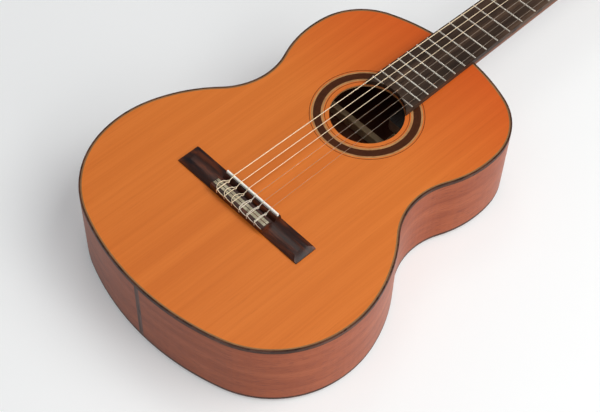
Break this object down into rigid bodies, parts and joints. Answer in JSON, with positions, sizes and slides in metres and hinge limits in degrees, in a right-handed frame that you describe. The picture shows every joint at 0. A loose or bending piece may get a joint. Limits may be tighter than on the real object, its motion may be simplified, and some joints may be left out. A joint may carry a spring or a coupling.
{
  "type": "classical guitar",
  "caption": "Classical guitar with a round soundhole, tied nylon strings over a glued bridge, and a slotted head with worm-driven tuning rollers.",
  "frame": {"origin": "under the middle of the guitar's length and width, level with the lowest point of its arched back", "axes": "+Y along the neck towards the head, +X towards the treble strings, +Z out of the soundboard"},
  "size_m": [0.3734, 1, 0.1151],
  "materials": {
    "cedar": "satin gloss, straight fine grain",
    "rosette_wood": "satin gloss inlay rings",
    "maple": "satin gloss thin line",
    "rosewood": "satin gloss",
    "bridge_rosewood": "satin",
    "fingerboard_rosewood": "satin, open grain",
    "mahogany": "satin gloss",
    "neck_mahogany": "satin gloss",
    "mahogany_inside": "bare, matt",
    "spruce": "bare, matt",
    "bone": "polished bone",
    "fret_metal": "polished nickel silver",
    "wound_string": "silver-plated winding",
    "nylon_string": "clear nylon",
    "machine_metal": "polished plate",
    "gear_brass": "cut brass",
    "roller_plastic": "white roller",
    "button_plastic": "pearly white"
  },
  "bodies": {
    "guitar": {"soundboard": "cedar", "rosette": "rosette_wood", "top_purfling": "maple", "top_binding": "rosewood", "back_binding": "rosewood", "rib_treble": "mahogany", "rib_bass": "mahogany", "end_graft": "rosewood", "back_plate": "mahogany", "back_center_strip": "spruce", "back_braces": "spruce", "harmonic_bars": "spruce", "fan_braces": "spruce", "top_lining": "spruce", "back_lining": "spruce", "tail_block": "mahogany_inside", "neck_block": "mahogany_inside", "neck": "neck_mahogany", "heel_cap": "rosewood", "fingerboard": "fingerboard_rosewood", "frets": "fret_metal", "nut": "bone", "bridge": "bridge_rosewood", "saddle": "bone", "tie_block_strips": "bone", "headstock": "neck_mahogany", "headplate": "rosewood", "tuner_plate_treble": "machine_metal", "tuner_plate_bass": "machine_metal", "plate_screws": "machine_metal", "string_e_low": "wound_string", "string_a": "wound_string", "string_d": "wound_string", "string_g": "nylon_string", "string_b": "nylon_string", "string_e_high": "nylon_string"},
    "worm_e_low": {"worm_shaft_e_low": "machine_metal", "button_e_low": "button_plastic"},
    "roller_e_low": {"gear_e_low": "gear_brass", "roller_e_low": "roller_plastic"},
    "worm_a": {"worm_shaft_a": "machine_metal", "button_a": "button_plastic"},
    "roller_a": {"gear_a": "gear_brass", "roller_a": "roller_plastic"},
    "worm_d": {"worm_shaft_d": "machine_metal", "button_d": "button_plastic"},
    "roller_d": {"gear_d": "gear_brass", "roller_d": "roller_plastic"},
    "worm_g": {"worm_shaft_g": "machine_metal", "button_g": "button_plastic"},
    "roller_g": {"gear_g": "gear_brass", "roller_g": "roller_plastic"},
    "worm_b": {"worm_shaft_b": "machine_metal", "button_b": "button_plastic"},
    "roller_b": {"gear_b": "gear_brass", "roller_b": "roller_plastic"},
    "worm_e_high": {"worm_shaft_e_high": "machine_metal", "button_e_high": "button_plastic"},
    "roller_e_high": {"gear_e_high": "gear_brass", "roller_e_high": "roller_plastic"}
  },
  "joints": [
    {"name": "worm_e_low_turn", "type": "hinge", "parent": "guitar", "child": "worm_e_low", "pos_m": [-0.0358, 0.38035, 0.07551], "axis": [0, 0.2588, 0.9659], "continuous": true},
    {"name": "roller_e_low_turn", "type": "hinge", "parent": "guitar", "child": "roller_e_low", "pos_m": [0, 0.37219, 0.0777], "axis": [1, 0, 0], "continuous": true},
    {"name": "worm_a_turn", "type": "hinge", "parent": "guitar", "child": "worm_a", "pos_m": [-0.0358, 0.41416, 0.06645], "axis": [0, 0.2588, 0.9659], "continuous": true},
    {"name": "roller_a_turn", "type": "hinge", "parent": "guitar", "child": "roller_a", "pos_m": [0, 0.406, 0.06864], "axis": [1, 0, 0], "continuous": true},
    {"name": "worm_d_turn", "type": "hinge", "parent": "guitar", "child": "worm_d", "pos_m": [-0.0358, 0.44797, 0.05739], "axis": [0, 0.2588, 0.9659], "continuous": true},
    {"name": "roller_d_turn", "type": "hinge", "parent": "guitar", "child": "roller_d", "pos_m": [0, 0.43981, 0.05958], "axis": [1, 0, 0], "continuous": true},
    {"name": "worm_g_turn", "type": "hinge", "parent": "guitar", "child": "worm_g", "pos_m": [0.0358, 0.44797, 0.05739], "axis": [0, 0.2588, 0.9659], "continuous": true},
    {"name": "roller_g_turn", "type": "hinge", "parent": "guitar", "child": "roller_g", "pos_m": [0, 0.43981, 0.05958], "axis": [1, 0, 0], "continuous": true},
    {"name": "worm_b_turn", "type": "hinge", "parent": "guitar", "child": "worm_b", "pos_m": [0.0358, 0.41416, 0.06645], "axis": [0, 0.2588, 0.9659], "continuous": true},
    {"name": "roller_b_turn", "type": "hinge", "parent": "guitar", "child": "roller_b", "pos_m": [0, 0.406, 0.06864], "axis": [1, 0, 0], "continuous": true},
    {"name": "worm_e_high_turn", "type": "hinge", "parent": "guitar", "child": "worm_e_high", "pos_m": [0.0358, 0.38035, 0.07551], "axis": [0, 0.2588, 0.9659], "continuous": true},
    {"name": "roller_e_high_turn", "type": "hinge", "parent": "guitar", "child": "roller_e_high", "pos_m": [0, 0.37219, 0.0777], "axis": [1, 0, 0], "continuous": true}
  ],
  "couplings": [
    {"joint": "roller_e_low_turn", "follows": "worm_e_low_turn", "ratio": -0.071429},
    {"joint": "roller_a_turn", "follows": "worm_a_turn", "ratio": -0.071429},
    {"joint": "roller_d_turn", "follows": "worm_d_turn", "ratio": -0.071429},
    {"joint": "roller_g_turn", "follows": "worm_g_turn", "ratio": -0.071429},
    {"joint": "roller_b_turn", "follows": "worm_b_turn", "ratio": -0.071429},
    {"joint": "roller_e_high_turn", "follows": "worm_e_high_turn", "ratio": -0.071429}
  ]
}
